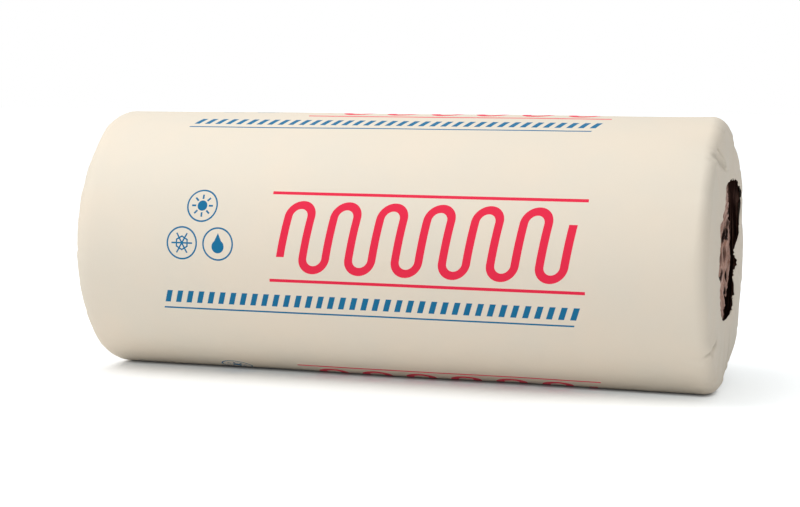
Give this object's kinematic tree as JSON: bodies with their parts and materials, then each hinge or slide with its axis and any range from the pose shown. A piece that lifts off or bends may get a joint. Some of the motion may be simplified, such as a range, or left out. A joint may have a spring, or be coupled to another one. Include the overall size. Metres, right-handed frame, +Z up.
{
  "type": "insulation roll",
  "caption": "Roll of brown glass wool mat wound round an open bore and held in a cream plastic film wrap whose drawn-in ends leave an opening over the turns.",
  "frame": {"origin": "on the floor under the middle of the lying roll", "axes": "+X along the roll towards the end with the torn opening, +Z up"},
  "size_m": [1.22, 0.512, 0.5119],
  "materials": {
    "glass_wool": "matt, fibrous",
    "film": "satin film"
  },
  "bodies": {
    "root": {"wool_roll": "glass_wool", "wrap_film": "film"}
  },
  "joints": []
}
